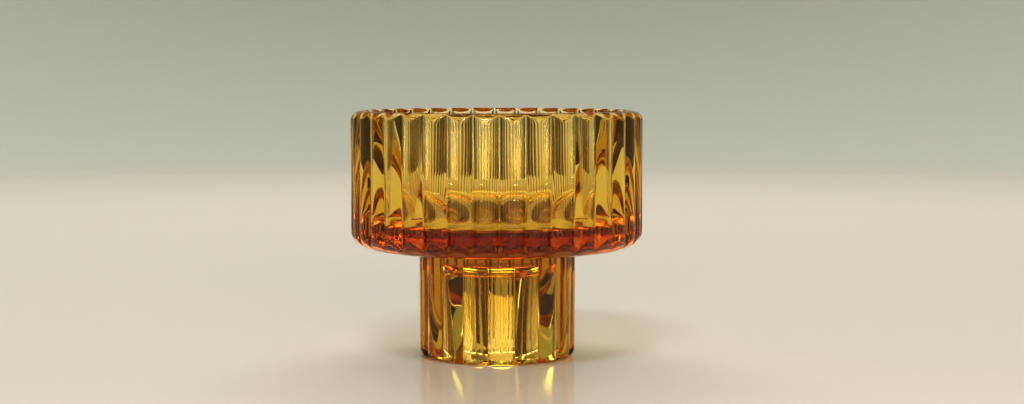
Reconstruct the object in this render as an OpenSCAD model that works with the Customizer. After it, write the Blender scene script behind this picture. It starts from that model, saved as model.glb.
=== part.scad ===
// Candle holder in ribbed pressed glass: a wide, low bowl on a narrower foot.
// The bowl holds a tealight or a low pillar candle. Both hollows bend in towards their
// closed ends, as the plunger that pressed them had to come out again.
// Millimetres, +Z up. The origin is the centre of the ring that the foot stands on.
// Two solids, which meet face to face where the glass was joined hot.

/* [Bowl] */
// Diameter over the crests of the bowl's ribs
bowl_d = 94; // [94:0.5:104]
// Height of the bowl, from its underside to its rim
bowl_h = 43.7; // [24:0.1:60]
// Number of ribs round the bowl
bowl_ribs = 36; // [32:2:40]
// Radius of a bowl rib's rounded back
bowl_rib_r = 4.6; // [4.4:0.1:6]
// Turn of the nearest rib crest from the front, in degrees
bowl_turn = 6.5; // [0:0.5:10]
// Rounding of the rim's outer edge
rim_r = 3.9; // [2:0.1:3.9]
// Rounding of the bottom outer corner
heel_r = 6.3; // [2:0.1:7]

/* [Candle cup] */
// Inside diameter of the bowl at its rim
cup_mouth_d = 85; // [82:0.1:85]
// Inside diameter of the bowl at its floor, without the fillet
cup_floor_d = 75.4; // [70:0.1:78]
// Lean of the inner wall at the rim, in degrees
cup_lean = 0; // [0:0.5:3]
// Thickness of the glass under the candle
cup_floor_t = 7.6; // [4:0.1:10]
// Fillet between the inner wall and the floor
cup_fillet_r = 6.5; // [1:0.1:10]
// Rounding of the rim's inner edge
cup_lip_r = 0.8; // [0.4:0.1:0.8]

/* [Foot] */
// Diameter over the crests of the foot's ribs
foot_d = 50.8; // [50:0.1:56]
// Height of the foot, from the table to the bowl's underside
foot_h = 35.3; // [33:0.1:50]
// Number of ribs round the foot
foot_ribs = 18; // [16:2:22]
// Radius of a foot rib's rounded back
foot_rib_r = 4.7; // [4.6:0.1:6]
// Turn of the nearest rib crest from the front, in degrees
foot_turn = 4; // [0:0.5:20]
// Rounding of the foot's bottom outer corner
foot_heel_r = 2.8; // [1:0.1:3]

/* [Foot hollow] */
// Diameter of the hollow at the table
hollow_mouth_d = 38; // [36:0.1:38]
// Diameter of the hollow at its closed end, without the fillet
hollow_end_d = 28; // [26:0.1:29]
// Lean of the hollow's wall at the table, in degrees
hollow_lean = 6; // [0:0.5:6]
// Depth of the hollow from the table
hollow_depth = 30; // [20:0.1:31]
// Fillet at the hollow's closed end
hollow_fillet_r = 4; // [0.5:0.1:6]
// Rounding of the hollow's mouth
hollow_lip_r = 1.5; // [0.5:0.1:1.5]

/* [Hidden] */
$fn = 96;

// Amber of the glass
glass_colour = [0.80, 0.55, 0.12, 0.75];
// The turned shape stands this far outside the rib crests, so that it cuts the ribs
// only at their rounded ends
crest_relief = 0.3;
// Extra length on a cut, so that it passes clean through a face
over = 1;
// Short cones that make up the bend of an inner wall
bend_steps = 12;
// How far the wall's end reaches into the rounding of the mouth, so that they cross cleanly
bite = 0.002;
// Direction of the front, which faces -Y
front_angle = -90;

bowl_r = bowl_d / 2;
cup_depth = bowl_h - cup_floor_t;
foot_r = foot_d / 2;

// Outline of a ribbed disc: one round rib on each step round a plain disc
module ribbed_disc(crest_r, rib_r, ribs, turn) {
    circle(r = crest_r - rib_r);
    for (i = [0 : ribs - 1])
        rotate(front_angle + turn + i * 360 / ribs)
            translate([crest_r - rib_r, 0])
                circle(r = rib_r);
}

// Half section of a turned block whose bottom outer corner is rounded
module heeled_section(r, h, corner_r) {
    square([r - corner_r, h]);
    translate([0, corner_r])
        square([r, h - corner_r]);
    translate([r - corner_r, corner_r])
        circle(r = corner_r);
}

// Corner of a square with a round taken out of it: what a rounded edge removes.
// It lies at +X, +Y of the edge's centre of rounding.
module edge_rounding(edge_r) {
    difference() {
        square(edge_r + over);
        circle(r = edge_r);
    }
}

// Half section of a round pocket that opens upwards. Its wall leans in by lean degrees at
// the mouth and bends further in, along one long arc, towards end_r at the closed end. A
// fillet joins it to the closed end, and the mouth is rounded. Both small arcs touch the long
// one: meet and leave are the angles of those points, seen from the long arc's centre. The
// long arc is a run of short cones, within a hundredth of a millimetre of the true curve.
module pocket_section(mouth_r, end_r, depth, fillet_r, lip_r, lean) {
    inset = mouth_r - end_r;
    bend_r = norm([inset, depth]) / (2 * sin(atan(inset / depth) - lean));
    bend = [mouth_r - bend_r * cos(lean), depth + bend_r * sin(lean)];
    meet = asin((bend.y - fillet_r) / (bend_r - fillet_r));
    leave = asin((bend.y - depth + lip_r) / (bend_r + lip_r));
    wall = [for (i = [0 : bend_steps])
                let (a = meet + (leave - meet) * i / bend_steps)
                bend + (bend_r + (i == bend_steps ? bite : 0)) * [cos(a), -sin(a)]];
    fillet_x = bend.x + (bend_r - fillet_r) * cos(meet);
    lip = [bend.x + (bend_r + lip_r) * cos(leave), depth - lip_r];
    translate([fillet_x, fillet_r])
        circle(r = fillet_r);
    difference() {
        polygon(concat([[0, 0], [fillet_x, 0]], wall,
                       [lip, [lip.x, depth + over], [0, depth + over]]));
        translate(lip)
            circle(r = lip_r);
    }
}

// Half section of the bowl, with its underside at height 0
module bowl_section() {
    turned_r = bowl_r + crest_relief;
    difference() {
        heeled_section(turned_r, bowl_h, heel_r);
        translate([turned_r - rim_r, bowl_h - rim_r])
            edge_rounding(rim_r);
        translate([0, cup_floor_t])
            pocket_section(cup_mouth_d / 2, cup_floor_d / 2, cup_depth,
                           cup_fillet_r, cup_lip_r, cup_lean);
    }
}

// Half section of the foot, with its hollow open at the table
module foot_section() {
    difference() {
        heeled_section(foot_r + crest_relief, foot_h, foot_heel_r);
        translate([0, hollow_depth])
            mirror([0, 1])
                pocket_section(hollow_mouth_d / 2, hollow_end_d / 2, hollow_depth,
                               hollow_fillet_r, hollow_lip_r, hollow_lean);
    }
}

// Wide bowl with the candle cup
module bowl() {
    color(glass_colour)
        translate([0, 0, foot_h])
            intersection() {
                translate([0, 0, -over])
                    linear_extrude(height = bowl_h + 2 * over)
                        ribbed_disc(bowl_r, bowl_rib_r, bowl_ribs, bowl_turn);
                rotate_extrude()
                    bowl_section();
            }
}

// Narrow hollow foot
module foot() {
    color(glass_colour)
        intersection() {
            translate([0, 0, -over])
                linear_extrude(height = foot_h + 2 * over)
                    ribbed_disc(foot_r, foot_rib_r, foot_ribs, foot_turn);
            rotate_extrude()
                foot_section();
        }
}

bowl();
foot();
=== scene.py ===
"""Looks of a footed candle holder in ribbed, pressed amber glass.

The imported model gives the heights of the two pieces. The ribbed bowl and the ribbed foot
are turned with a spin, ribbed and fire-polished here, and dressed in one clear glass. They
stand on a pale studio floor under soft light.
"""

import logging
import math
from dataclasses import dataclass, field

import bmesh
import bpy
from mathutils import Matrix, Vector, noise


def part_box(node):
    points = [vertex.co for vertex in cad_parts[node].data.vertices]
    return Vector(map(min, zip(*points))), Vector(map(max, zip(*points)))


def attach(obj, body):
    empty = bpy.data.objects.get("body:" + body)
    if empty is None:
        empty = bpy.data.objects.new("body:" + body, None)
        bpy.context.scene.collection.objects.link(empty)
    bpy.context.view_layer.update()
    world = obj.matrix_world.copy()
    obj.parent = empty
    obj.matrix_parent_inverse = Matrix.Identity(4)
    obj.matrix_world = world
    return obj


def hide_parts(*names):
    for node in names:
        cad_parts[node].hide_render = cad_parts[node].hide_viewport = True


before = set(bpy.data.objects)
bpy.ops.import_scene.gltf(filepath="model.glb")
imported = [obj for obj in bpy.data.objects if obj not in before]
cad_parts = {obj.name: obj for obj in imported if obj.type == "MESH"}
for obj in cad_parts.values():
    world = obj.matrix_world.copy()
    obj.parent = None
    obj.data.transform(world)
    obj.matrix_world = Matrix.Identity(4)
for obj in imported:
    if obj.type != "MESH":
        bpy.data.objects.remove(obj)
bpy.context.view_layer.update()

LOG = logging.getLogger("candle_holder")
MM = 0.001
FRONT = -math.pi / 2
STEPS_ROUND = 720
JOINT_GAP = 0.02 * MM       # keeps the two pieces' joined faces from lying on each other
JOINT_LAYER = "joined_face"


STRAIGHT_STEPS = 14         # up a ribbed side
HEEL_STEPS = 32             # round the bowl's heel
FOOT_HEEL_STEPS = 18
RIM_STEPS = 20
WALL_STEPS = 24             # along the bend of an inner wall
FILLET_STEPS = 12
LIP_STEPS = 8
COVE_STEPS_ROUND = 96
COVE_STEPS_UP = 12

LIGHT_BOUNCES = 40          # enough for the long paths inside clear glass
MIRROR_BOUNCES = 16
EXPOSURE = 0.1


@dataclass(frozen=True)
class Wave:
    """One kind of faint unevenness that pressing and fire polishing leave in the glass."""

    across: float      # spacing round the holder, in metres
    upwards: float     # spacing up it
    height: float


WAVES = (Wave(7 * MM, 26 * MM, 0.16 * MM), Wave(2.6 * MM, 11 * MM, 0.05 * MM))


# ---------------------------------------------------------------- small helpers

def srgb(code: str) -> tuple[float, float, float]:
    """Turns an sRGB hex colour into linear values.

    Args:
        code: Six hex digits, such as "D8A020".

    Returns:
        The linear red, green and blue.
    """
    parts = (int(code[i:i + 2], 16) / 255 for i in (0, 2, 4))
    return tuple(c / 12.92 if c <= 0.04045 else ((c + 0.055) / 1.055) ** 2.4 for c in parts)


def rgba(code: str) -> tuple[float, float, float, float]:
    """Linear colour of an sRGB hex code, with full alpha."""
    return (*srgb(code), 1.0)


def arc(centre: tuple[float, float], radius: float, start: float, end: float,
        steps: int) -> list[tuple[float, float]]:
    """Points along an arc of a half section.

    Args:
        centre: Distance from the axis, and height, of the arc's centre.
        radius: Radius of the arc.
        start: First angle in degrees, where 0 points away from the axis and 90 up.
        end: Last angle in degrees.
        steps: Number of equal steps between them.

    Returns:
        The points, both ends included.
    """
    angles = [math.radians(start + (end - start) * i / steps) for i in range(steps + 1)]
    return [(centre[0] + radius * math.cos(a), centre[1] + radius * math.sin(a)) for a in angles]


def run(start: tuple[float, float], end: tuple[float, float],
        steps: int) -> list[tuple[float, float]]:
    """Points strictly between two ends of a straight stretch of a half section.

    Args:
        start: The end before the stretch, left out.
        end: The end after the stretch, left out.
        steps: Number of equal steps between them.

    Returns:
        The points in between.
    """
    return [(start[0] + (end[0] - start[0]) * i / steps, start[1] + (end[1] - start[1]) * i / steps)
            for i in range(1, steps)]


def smooth_least(a: float, b: float, blend: float) -> float:
    """Lesser of two values, with the corner between them rounded over a blend width."""
    overlap = max(blend - abs(a - b), 0.0)
    return min(a, b) - overlap * overlap / (4 * blend)


def add_node(tree: bpy.types.NodeTree, kind: str, settings: dict | None = None,
             **inputs) -> bpy.types.Node:
    """Adds one node with its settings and its inputs.

    Args:
        tree: The tree that the node joins.
        kind: Type name of the node.
        settings: Properties of the node itself.
        inputs: Socket values or output sockets by socket name, with _ for a space, or by
            socket number as in_0, in_1 and so on.

    Returns:
        The new node.
    """
    node = tree.nodes.new(kind)
    for name, value in (settings or {}).items():
        setattr(node, name, value)
    for name, value in inputs.items():
        key = int(name[3:]) if name.startswith("in_") else name.replace("_", " ")
        socket = node.inputs[key]
        if isinstance(value, bpy.types.NodeSocket):
            tree.links.new(value, socket)
        else:
            socket.default_value = value
    return node


def new_material(name: str) -> tuple[bpy.types.Material, bpy.types.NodeTree]:
    """Makes an empty node material.

    Args:
        name: Name of the material.

    Returns:
        The material and its node tree.
    """
    material = bpy.data.materials.new(name)
    material.use_nodes = True
    material.node_tree.nodes.clear()
    return material, material.node_tree


def mesh_object(name: str, bm: bmesh.types.BMesh) -> bpy.types.Object:
    """Turns a bmesh into an object at the origin and frees the bmesh.

    Args:
        name: Name of the object and of its mesh.
        bm: The finished bmesh.

    Returns:
        The object, linked to the scene and shaded smooth.
    """
    mesh = bpy.data.meshes.new(name)
    bm.to_mesh(mesh)
    bm.free()
    mesh.shade_smooth()
    piece = bpy.data.objects.new(name, mesh)
    bpy.context.scene.collection.objects.link(piece)
    return piece


def turn_section(points: list[tuple[float, float]]) -> bmesh.types.BMesh:
    """Turns a half section round the Z axis into a closed solid.

    Args:
        points: The section from the axis and back to it, as distance and height.

    Returns:
        The solid, with its seam and poles merged and its faces pointing outwards.
    """
    bm = bmesh.new()
    verts = [bm.verts.new((r * math.cos(FRONT), r * math.sin(FRONT), z)) for r, z in points]
    edges = [bm.edges.new(pair) for pair in zip(verts, verts[1:])]
    bmesh.ops.spin(bm, geom=verts + edges, cent=(0, 0, 0), axis=(0, 0, 1), angle=math.tau,
                   steps=STEPS_ROUND, use_merge=True, use_duplicate=False)
    bmesh.ops.remove_doubles(bm, verts=bm.verts, dist=0.0005 * MM)
    bmesh.ops.recalc_face_normals(bm, faces=bm.faces)
    return bm


# ---------------------------------------------------------------- finishes

@dataclass(frozen=True)
class PressedGlass:
    """Amber soda-lime glass, pressed in a mould and fire-polished.

    Iron-sulphur amber takes the blue out within a few millimetres, so thin walls are
    honey-coloured and long paths through the floor turn brown and then dark red.
    """

    name: str = "amber_pressed_glass"
    ior: float = 1.52            # soda-lime glass
    roughness: float = 0.0       # fire-polished, so as clear as a window
    absorption: float = 200.0    # per metre, at full strength
    tint: str = "F7EB94"         # what the glass lets through: its blue goes first

    def make(self) -> bpy.types.Material:
        """Builds the material.

        Returns:
            A clear glass with absorption inside. Faces marked as joined bend no light,
            because the bowl and the foot are one body of glass there.
        """
        material, tree = new_material(self.name)
        joined = add_node(tree, "ShaderNodeAttribute", {"attribute_name": JOINT_LAYER})
        index = add_node(tree, "ShaderNodeMapRange", Value=joined.outputs["Fac"],
                         To_Min=self.ior, To_Max=1.0)
        glass = add_node(tree, "ShaderNodeBsdfPrincipled", Base_Color=(1, 1, 1, 1),
                         Roughness=self.roughness, Transmission_Weight=1.0,
                         IOR=index.outputs["Result"])
        body = add_node(tree, "ShaderNodeVolumeAbsorption", Color=rgba(self.tint),
                        Density=self.absorption)
        add_node(tree, "ShaderNodeOutputMaterial", Surface=glass.outputs["BSDF"],
                 Volume=body.outputs["Volume"])
        return material


@dataclass(frozen=True)
class StudioPaper:
    """Pale, smooth studio surface: a satin floor that runs into a backdrop of its own tone."""

    name: str = "studio_paper"
    floor: str = "C4BBAC"
    wall: str = "BDBDB0"
    roughness: float = 0.16

    def make(self, wall_start: float, wall_end: float) -> bpy.types.Material:
        """Builds the material.

        Args:
            wall_start: Distance from the axis at which the floor's tone begins to change.
            wall_end: Distance at which it has become the wall's tone.

        Returns:
            The material.
        """
        material, tree = new_material(self.name)
        place = add_node(tree, "ShaderNodeTexCoord")
        distance = add_node(tree, "ShaderNodeVectorMath", {"operation": "LENGTH"},
                            Vector=place.outputs["Object"])
        share = add_node(tree, "ShaderNodeMapRange", {"interpolation_type": "SMOOTHSTEP"},
                         Value=distance.outputs["Value"], From_Min=wall_start, From_Max=wall_end)
        tone = add_node(tree, "ShaderNodeMix", {"data_type": "RGBA"}, in_0=share.outputs["Result"],
                        in_6=rgba(self.floor), in_7=rgba(self.wall))
        paper = add_node(tree, "ShaderNodeBsdfPrincipled", Base_Color=tone.outputs[2],
                         Roughness=self.roughness, IOR=1.45)
        add_node(tree, "ShaderNodeOutputMaterial", Surface=paper.outputs["BSDF"])
        return material


# ---------------------------------------------------------------- the holder's two pieces

@dataclass
class RibRing:
    """Round ribs set side by side round a turned body."""

    crest_r: float     # from the axis to the crests
    rib_r: float       # radius of each rib's back
    count: int
    turn: float        # degrees from the front to the nearest crest
    valley: float      # width of the valley that fire polishing has filled, in metres

    def radius(self, angle: float) -> float:
        """Distance from the axis to the ribs' outline.

        Args:
            angle: Direction about the axis, in radians from +X.

        Returns:
            The distance, with each valley slightly rounded.
        """
        pitch = math.tau / self.count
        off = abs((angle - FRONT - math.radians(self.turn) + pitch / 2) % pitch - pitch / 2)
        to_valley = pitch / 2 - off
        soft = self.valley / self.crest_r
        if to_valley < soft:
            to_valley = (to_valley * to_valley + soft * soft) / (2 * soft)
        off = pitch / 2 - to_valley
        centre = self.crest_r - self.rib_r
        return centre * math.cos(off) + math.sqrt(self.rib_r ** 2 - (centre * math.sin(off)) ** 2)


@dataclass
class Pocket:
    """Round hollow that the mould's plunger leaves.

    Its wall leans in a little at the mouth and bends further in towards the closed end in
    one long arc, so the plunger came out freely.
    """

    mouth_r: float
    end_r: float       # where the bent wall would meet the closed end without the fillet
    depth: float
    fillet_r: float    # between the wall and the closed end
    lip_r: float       # rounding of the mouth
    lean: float        # degrees that the wall leans at the mouth

    def section(self, mouth_z: float, up: float) -> list[tuple[float, float]]:
        """Half section from the mouth's edge to the centre of the closed end.

        Args:
            mouth_z: Height of the mouth.
            up: 1 for a pocket that opens upwards, -1 for one that opens downwards.

        Returns:
            The points, from the outside of the lip to the axis.
        """
        start = math.radians(self.lean)
        chord = math.atan2(self.mouth_r - self.end_r, self.depth)
        bend_r = math.hypot(self.mouth_r - self.end_r, self.depth) / (2 * math.sin(chord - start))
        bend = (self.mouth_r - bend_r * math.cos(start), bend_r * math.sin(start))
        meet = math.asin((self.depth - self.fillet_r + bend[1]) / (bend_r - self.fillet_r))
        fillet_x = bend[0] + (bend_r - self.fillet_r) * math.cos(meet)
        leave = math.asin((self.lip_r + bend[1]) / (bend_r + self.lip_r))
        lip_x = bend[0] + (bend_r + self.lip_r) * math.cos(leave)
        lip = arc((lip_x, -self.lip_r), self.lip_r, 90, 180 - math.degrees(leave), LIP_STEPS)
        wall = arc(bend, bend_r, -math.degrees(leave), -math.degrees(meet), WALL_STEPS)
        fillet = arc((fillet_x, self.fillet_r - self.depth), self.fillet_r,
                     -math.degrees(meet), -90, FILLET_STEPS)
        centre = (0.0, -self.depth)
        points = [*lip, *wall[1:], *fillet[1:], *run(fillet[-1], centre, 6), centre]
        return [(r, mouth_z + up * z) for r, z in points]


@dataclass
class Foot:
    """Narrow ribbed foot, with the plunger's hollow open at the table."""

    low: float
    high: float
    ribs: RibRing = field(default_factory=lambda: RibRing(
        crest_r=25.4 * MM, rib_r=4.7 * MM, count=18, turn=4.0, valley=0.15 * MM))
    relief: float = 0.3 * MM       # how far the turned shape stands outside the crests
    heel_r: float = 2.8 * MM
    hollow: Pocket = field(default_factory=lambda: Pocket(
        mouth_r=19.0 * MM, end_r=14.0 * MM, depth=30.0 * MM, fillet_r=4.0 * MM,
        lip_r=1.5 * MM, lean=6.0))
    blend: float = 0.35 * MM       # rounding where the ribs end

    def section(self) -> list[tuple[float, float]]:
        """Half section from the top's centre, down the outside and up the hollow."""
        out = self.ribs.crest_r + self.relief
        top = (out, self.high - JOINT_GAP)
        heel = arc((out - self.heel_r, self.low + self.heel_r), self.heel_r,
                   0, -90, FOOT_HEEL_STEPS)
        hollow = self.hollow.section(self.low, -1.0)
        axis_top = (0.0, self.high - JOINT_GAP)
        return [axis_top, *run(axis_top, top, 4), top, *run(top, heel[0], STRAIGHT_STEPS), *heel,
                *run(heel[-1], hollow[0], 5), *hollow]

    def build(self) -> bpy.types.Object:
        """Turns, ribs and polishes the foot.

        Returns:
            The foot as one closed mesh.
        """
        bm = turn_section(self.section())
        for vert in bm.verts:
            push_ribs(vert, self.ribs, self.blend)
        ripple(bm, self.high)
        mark_joint(bm, self.high - JOINT_GAP, self.ribs)
        return mesh_object("ribbed_foot", bm)


@dataclass
class Bowl:
    """Wide ribbed bowl with a thick floor and a rounded rim."""

    low: float
    high: float
    foot_ribs: RibRing
    ribs: RibRing = field(default_factory=lambda: RibRing(
        crest_r=47.0 * MM, rib_r=4.6 * MM, count=36, turn=6.5, valley=0.15 * MM))
    relief: float = 0.3 * MM       # how far the turned shape stands outside the crests
    rim_r: float = 3.9 * MM
    heel_r: float = 6.3 * MM
    cup: Pocket = field(default_factory=lambda: Pocket(
        mouth_r=42.5 * MM, end_r=37.7 * MM, depth=36.1 * MM, fillet_r=6.5 * MM,
        lip_r=0.8 * MM, lean=0.0))
    blend: float = 0.35 * MM       # rounding where the ribs end

    def section(self) -> list[tuple[float, float]]:
        """Half section from the underside's centre, up the outside and down the cup."""
        out = self.ribs.crest_r + self.relief
        axis_low = (0.0, self.low)
        seat = (self.foot_ribs.crest_r, self.low)
        heel = arc((out - self.heel_r, self.low + self.heel_r), self.heel_r, -90, 0, HEEL_STEPS)
        rim = arc((out - self.rim_r, self.high - self.rim_r), self.rim_r, 0, 90, RIM_STEPS)
        return [axis_low, *run(axis_low, seat, 3), seat, *run(seat, heel[0], 4), *heel,
                *run(heel[-1], rim[0], STRAIGHT_STEPS), *rim, *self.cup.section(self.high, 1.0)]

    def build(self) -> bpy.types.Object:
        """Turns, ribs and polishes the bowl.

        Returns:
            The bowl as one closed mesh.
        """
        bm = turn_section(self.section())
        seat_r = self.foot_ribs.crest_r
        for vert in bm.verts:
            on_face = abs(vert.co.z - self.low) < 0.001 * MM
            if on_face and abs(vert.co.xy.length - seat_r) < 0.001 * MM:
                shrink_to(vert, self.foot_ribs.radius(math.atan2(vert.co.y, vert.co.x)))
            else:
                push_ribs(vert, self.ribs, self.blend)
        ripple(bm, self.low)
        mark_joint(bm, self.low, self.foot_ribs)
        return mesh_object("ribbed_bowl", bm)


def shrink_to(vert: bmesh.types.BMVert, radius: float) -> None:
    """Moves a vertex along its own radius to a new distance from the axis."""
    scale = radius / vert.co.xy.length
    vert.co.x *= scale
    vert.co.y *= scale


def push_ribs(vert: bmesh.types.BMVert, ribs: RibRing, blend: float) -> None:
    """Cuts a turned surface back to the ribs' outline wherever it stands outside it.

    Args:
        vert: A vertex of the turned solid.
        ribs: The ring of ribs.
        blend: Width over which the ribs' ends are rounded.
    """
    distance = vert.co.xy.length
    if distance < ribs.crest_r - 2 * ribs.rib_r:
        return
    outline = ribs.radius(math.atan2(vert.co.y, vert.co.x))
    shrink_to(vert, smooth_least(distance, outline, blend))


def ripple(bm: bmesh.types.BMesh, still: float) -> None:
    """Leaves the faint unevenness of pressed, fire-polished glass on a solid.

    Args:
        bm: The ribbed solid, which only shrinks, so that it stays inside its own size.
        still: Height of the joined face, which stays flat.
    """
    moves = []
    for vert in bm.verts:
        distance = vert.co.xy.length
        sink = 0.0
        for number, wave in enumerate(WAVES):
            place = Vector((vert.co.x / wave.across, vert.co.y / wave.across,
                            vert.co.z / wave.upwards + 7.3 * number))
            sink += wave.height * (1 + noise.noise(place)) / 2
        calm = min(abs(vert.co.z - still) / (2 * MM), 1.0) if distance < 26 * MM else 1.0
        moves.append(sink * calm * min(distance / (5 * MM), 1.0))
    for vert, move in zip(bm.verts, moves):
        if vert.co.xy.length > 0.1 * MM:
            shrink_to(vert, vert.co.xy.length - move)


def mark_joint(bm: bmesh.types.BMesh, height: float, ribs: RibRing) -> None:
    """Marks the faces where the two pieces were joined hot.

    Args:
        bm: The mesh of one piece.
        height: Height of its joined face.
        ribs: The foot's ribs, whose outline bounds the joined face.
    """
    layer = bm.faces.layers.float.new(JOINT_LAYER)
    for face in bm.faces:
        middle = face.calc_center_median()
        flat = all(abs(v.co.z - height) < 0.005 * MM for v in face.verts)
        inside = middle.xy.length < ribs.radius(math.atan2(middle.y, middle.x))
        face[layer] = 1.0 if flat and inside else 0.0


# ---------------------------------------------------------------- studio

@dataclass(frozen=True)
class Felt:
    """Dull brown cloth of the studio flags, which gives clear glass its dark outlines."""

    name: str = "flag_felt"
    colour: str = "3E3220"
    roughness: float = 0.95

    def make(self) -> bpy.types.Material:
        """Builds the material."""
        material, tree = new_material(self.name)
        cloth = add_node(tree, "ShaderNodeBsdfPrincipled", Base_Color=rgba(self.colour),
                         Roughness=self.roughness)
        add_node(tree, "ShaderNodeOutputMaterial", Surface=cloth.outputs["BSDF"])
        return material


@dataclass(frozen=True)
class Flag:
    """Upright cloth panel that stands on the floor, out of view, and that only the glass sees."""

    name: str
    bearing: float     # degrees from straight behind the holder, towards +X
    width: float
    tall: float
    reach: float = 0.22    # from the axis to the panel's middle, in metres

    def hang(self, cloth: bpy.types.Material) -> None:
        """Puts the panel in its place.

        Args:
            cloth: Its material.
        """
        bm = bmesh.new()
        bmesh.ops.create_grid(bm, x_segments=1, y_segments=1, size=0.5)
        bmesh.ops.scale(bm, vec=(self.width, self.tall, 1.0), verts=bm.verts)
        bmesh.ops.rotate(bm, cent=(0, 0, 0), verts=bm.verts,
                         matrix=Matrix.Rotation(math.pi / 2, 3, "X"))
        bmesh.ops.translate(bm, vec=(0, self.reach, self.tall / 2), verts=bm.verts)
        bmesh.ops.rotate(bm, cent=(0, 0, 0), verts=bm.verts,
                         matrix=Matrix.Rotation(math.radians(-self.bearing), 3, "Z"))
        panel = mesh_object(self.name, bm)
        panel.data.materials.append(cloth)
        panel.visible_camera = False
        panel.visible_shadow = False
        panel.visible_diffuse = False
        panel.visible_glossy = False


@dataclass(frozen=True)
class Softbox:
    """Soft lamp that points at the holder."""

    name: str
    place: tuple[float, float, float]
    width: float
    tall: float
    watts: float
    colour: str
    mirrored: bool = True      # whether polished surfaces show its reflection

    def hang(self) -> None:
        """Puts the lamp in its place."""
        light = bpy.data.lights.new(self.name, "AREA")
        light.shape = "RECTANGLE"
        light.size, light.size_y = self.width, self.tall
        light.energy = self.watts
        light.color = srgb(self.colour)
        lamp = bpy.data.objects.new(self.name, light)
        lamp.location = self.place
        aim = Vector((0, 0, 0.04)) - Vector(self.place)
        lamp.rotation_euler = aim.to_track_quat("-Z", "Y").to_euler()
        lamp.visible_glossy = self.mirrored
        bpy.context.scene.collection.objects.link(lamp)


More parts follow.
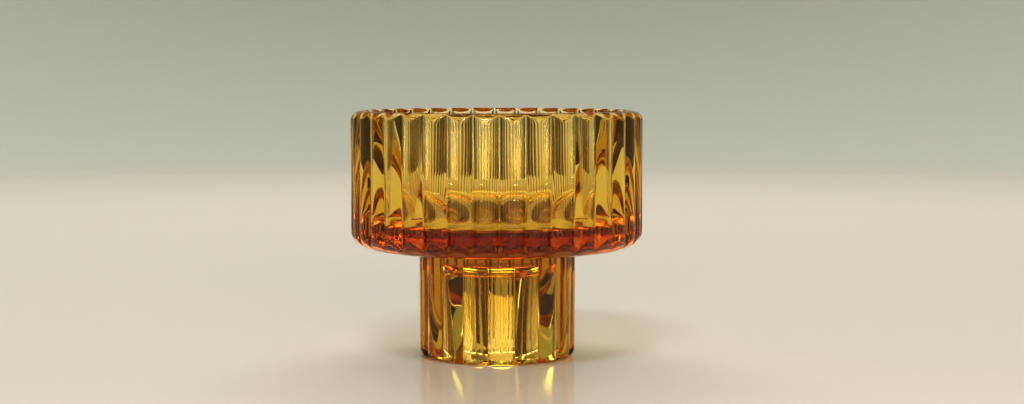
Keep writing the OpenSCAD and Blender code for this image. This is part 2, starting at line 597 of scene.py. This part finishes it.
@dataclass
class Studio:
    """Pale floor that sweeps up into a backdrop, with soft lamps and cloth flags round it."""

    floor_r: float = 1.05
    wall_r: float = 1.45
    wall_h: float = 0.9
    flags: tuple[Flag, ...] = (
        Flag("flag_left", -48.0, 0.19, 0.20),
        Flag("flag_right", 42.0, 0.13, 0.20),
        Flag("flag_side_left", -105.0, 0.09, 0.20),
        Flag("flag_side_right", 100.0, 0.12, 0.20),
    )
    lamps: tuple[Softbox, ...] = (
        Softbox("back_softbox", (0.0, 0.75, 0.95), 1.3, 0.5, 12.0, "FFFFFF", mirrored=False),
        Softbox("front_softbox", (-0.12, -0.6, 0.9), 0.3, 0.16, 5.0, "D0E4FF"),
        Softbox("low_front", (0.1, -0.7, 0.22), 0.6, 0.25, 4.0, "FFEBCF", mirrored=False),
        Softbox("left_window", (-1.0, 0.3, 0.45), 0.12, 0.6, 0.6, "E6F0FF", mirrored=False),
        Softbox("right_window", (1.0, 0.3, 0.45), 0.12, 0.6, 0.6, "FFF4E8", mirrored=False),
    )
    glow: float = 0.2      # strength of the even light from all round

    def build(self) -> None:
        """Makes the floor with its backdrop, the flags, the lamps and the surroundings."""
        self.cove()
        cloth = Felt().make()
        for flag in self.flags:
            flag.hang(cloth)
        for lamp in self.lamps:
            lamp.hang()
        self.surroundings()

    def cove(self) -> None:
        """Spins the floor and the backdrop, which meet in a wide sweep."""
        sweep = self.wall_r - self.floor_r
        points = [(0.0, 0.0), (0.2, 0.0), (self.floor_r, 0.0),
                  *arc((self.floor_r, sweep), sweep, -90, 0, COVE_STEPS_UP)[1:],
                  (self.wall_r, self.wall_h)]
        bm = bmesh.new()
        verts = [bm.verts.new((r, 0, z)) for r, z in points]
        edges = [bm.edges.new(pair) for pair in zip(verts, verts[1:])]
        bmesh.ops.spin(bm, geom=verts + edges, cent=(0, 0, 0), axis=(0, 0, 1), angle=math.tau,
                       steps=COVE_STEPS_ROUND, use_merge=True, use_duplicate=False)
        bmesh.ops.remove_doubles(bm, verts=bm.verts, dist=0.01 * MM)
        bmesh.ops.recalc_face_normals(bm, faces=bm.faces)
        cove = mesh_object("studio_cove", bm)
        cove.data.materials.append(StudioPaper().make(self.floor_r * 0.98, self.floor_r * 1.1))

    def surroundings(self) -> None:
        """Lights the studio evenly and softly from all round."""
        world = bpy.data.worlds.new("studio")
        world.use_nodes = True
        tree = world.node_tree
        tree.nodes.clear()
        glow = add_node(tree, "ShaderNodeBackground", Color=rgba("E8E8E4"), Strength=self.glow)
        add_node(tree, "ShaderNodeOutputWorld", Surface=glow.outputs["Background"])
        bpy.context.scene.world = world


@dataclass
class Camera:
    """Camera a little above the rim, looking slightly down at the front."""

    distance: float = 540 * MM
    height: float = 90.3 * MM
    aside: float = 4.9 * MM
    down: float = 4.33     # degrees below the level
    lens: float = 58.9     # in millimetres, on a 36 mm sensor

    def build(self) -> None:
        """Places the camera and makes it the scene's own."""
        data = bpy.data.cameras.new("camera")
        data.lens = self.lens
        data.sensor_width = 36.0
        data.clip_start = 0.01
        camera = bpy.data.objects.new("camera", data)
        camera.location = (self.aside, -self.distance, self.height)
        camera.rotation_euler = (math.radians(90 - self.down), 0, 0)
        bpy.context.scene.collection.objects.link(camera)
        bpy.context.scene.camera = camera


def dress(piece: bpy.types.Object, material: bpy.types.Material, node: str) -> None:
    """Gives a piece its glass and its place in the model.

    Args:
        piece: The finished piece.
        material: Its material.
        node: The CAD node that it stands for.
    """
    piece.data.materials.append(material)
    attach(piece, "root")
    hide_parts(node)
    LOG.info("%s: %d faces, for %s", piece.name, len(piece.data.polygons), node)


def main() -> None:
    """Builds the holder, the studio and the camera."""
    logging.basicConfig(level=logging.INFO, format="%(name)s: %(message)s")
    Camera().build()
    glass = PressedGlass().make()
    bowl_low, bowl_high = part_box("bowl")
    foot_low, foot_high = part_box("foot")
    foot = Foot(low=foot_low[2], high=foot_high[2])
    bowl = Bowl(low=bowl_low[2], high=bowl_high[2], foot_ribs=foot.ribs)
    dress(bowl.build(), glass, "bowl")
    dress(foot.build(), glass, "foot")
    Studio().build()
    scene = bpy.context.scene
    scene.cycles.max_bounces = LIGHT_BOUNCES
    scene.cycles.transmission_bounces = LIGHT_BOUNCES
    scene.cycles.glossy_bounces = MIRROR_BOUNCES
    scene.view_settings.view_transform = "Standard"
    scene.view_settings.look = "High Contrast"
    scene.view_settings.exposure = EXPOSURE


if __name__ == "__main__":
    main()
